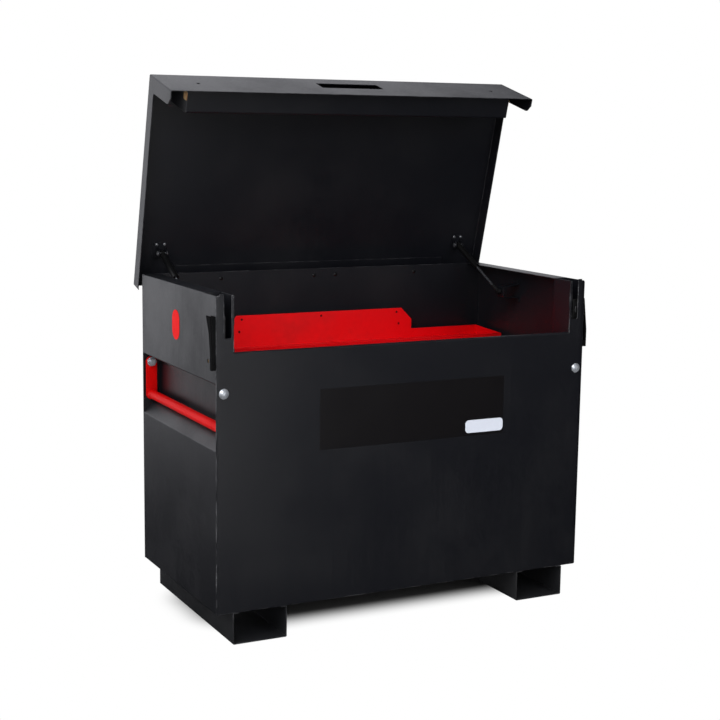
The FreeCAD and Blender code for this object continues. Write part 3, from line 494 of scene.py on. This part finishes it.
stage = {
    "floorHalf": 40, "half": (0.42, 0.06, 0), "near": 0.1, "far": 0.26,
    "paper": (0.92, 0.92, 0.92, 1), "contact": (0.14, 0.14, 0.14, 1),
    "boxMiddle": (0, 0, 0.6), "closeGlow": 0.06, "glowFrom": 1.8, "glowTo": 6.2}

sheet = Finish(bpy.data.materials.new("floor_paper"), shader="ShaderNodeMixShader")
ground = sheet.local()
beside = sheet.vector("SUBTRACT", sheet.vector("ABSOLUTE", ground), stage["half"])
outside = sheet.vector("LENGTH", sheet.vector("MAXIMUM", beside, (0, 0, 0)), output="Value")
plain = sheet.between(outside, stage["near"], stage["far"])
away = sheet.vector("LENGTH", ground, output="Value")
farGlow = sheet.between(away, stage["glowFrom"], stage["glowTo"])
direction = sheet.vector("NORMALIZE", sheet.vector("SUBTRACT", ground, stage["boxMiddle"]))
seen, shiny, clear = rays(sheet)
glow = shiny * studioGlow(sheet, direction) * (stage["closeGlow"] + (1 - stage["closeGlow"]) * farGlow)
bright = sheet.node("ShaderNodeEmission", None, {
    "Color": sheet.colour(shiny, white, studio["cool"]), "Strength": seen + clear + glow})
# For the camera the matt colour goes over to a dark painted shadow near the box
matt = sheet.node("ShaderNodeBsdfDiffuse", None, {
    "Color": sheet.colour((1 - plain) * seen, stage["paper"], stage["contact"])})
sheet.set({0: shiny + plain * (seen + clear), 1: matt, 2: bright})
mesh = bmesh.new()
bmesh.ops.create_grid(mesh, x_segments=1, y_segments=1, size=stage["floorHalf"])
data = bpy.data.meshes.new("floor")
mesh.to_mesh(data)
mesh.free()
data.materials.append(sheet.owner)
floor = bpy.data.objects.new("floor", data)
bpy.context.scene.collection.objects.link(floor)

# World: white for the camera, the studio's glow for gloss, and an even fill for everything else

world = bpy.data.worlds.new("studio")
bpy.context.scene.world = world
room = Finish(world, "ShaderNodeOutputWorld", "ShaderNodeBackground")
seen, shiny, clear = rays(room)
glow = studioGlow(room, room.node("ShaderNodeTexCoord", output="Generated"))
fill = (1 - seen - clear - shiny) * studio["fill"]
room.set({"Color": room.colour(shiny, white, studio["cool"]), "Strength": seen + clear + shiny * glow + fill})

# Lamps: three wide soft ones, a strip for the front panel's left end and one for its folded edges

lamps = {
    "key": {"place": (-3.2, -2.4, 3.6), "aim": (0, 0, 0.7), "size": (3, 3), "power": 135, "gloss": True},
    "top": {"place": (0.2, 0.4, 4.6), "aim": (0, 0, 0.9), "size": (4, 3), "power": 110, "gloss": False},
    "front": {"place": (1.5, -4.5, 2.4), "aim": (0, 0, 0.7), "size": (2.5, 2), "power": 60, "gloss": False},
    "strip": {"place": (-0.32, -1.6, 0.5), "aim": (-0.7, -0.36, 0.5), "size": (0.3, 1.1), "power": 1.8, "gloss": True},
    "edge": {"place": (-1.66, -3.17, 1.1), "aim": (-0.64, -0.35, 0.9), "size": (0.25, 1.6), "power": 8, "gloss": True}}
for name, lamp in lamps.items():
    light = bpy.data.lights.new(name, "AREA")
    light.shape = "RECTANGLE"
    light.size, light.size_y = lamp["size"]
    light.energy = lamp["power"]
    holder = bpy.data.objects.new(name, light)
    holder.visible_glossy = lamp["gloss"]
    holder.visible_camera = False
    holder.location = lamp["place"]
    holder.rotation_euler = (Vector(lamp["aim"]) - Vector(lamp["place"])).to_track_quat("-Z", "Y").to_euler()
    bpy.context.scene.collection.objects.link(holder)

# Camera, solved from the box's edges: its place, its angles in degrees and its lens

shot = {
    "place": (-2.1631, -4.2571, 1.5358), "turn": -27.02, "down": 9.24, "roll": 0.81,
    "sensor": 36, "lens": 73.74, "shift": 0.0044}
turn, down, roll = (math.radians(shot[key]) for key in ("turn", "down", "roll"))
ahead = Vector((-math.sin(turn) * math.cos(down), math.cos(turn) * math.cos(down), -math.sin(down)))
level = Vector((math.cos(turn), math.sin(turn), 0))
right = math.cos(roll) * level + math.sin(roll) * level.cross(ahead)
up = right.cross(ahead)
camera = bpy.data.objects.new("camera", bpy.data.cameras.new("camera"))
camera.matrix_world = Matrix.Translation(shot["place"]) @ Matrix((right, up, -ahead)).transposed().to_4x4()
camera.data.sensor_width = shot["sensor"]
camera.data.lens = shot["lens"]
camera.data.shift_y = shot["shift"]
bpy.context.scene.collection.objects.link(camera)
bpy.context.scene.camera = camera
bpy.context.scene.view_settings.view_transform = "Standard"
print("stage, lamps and camera")
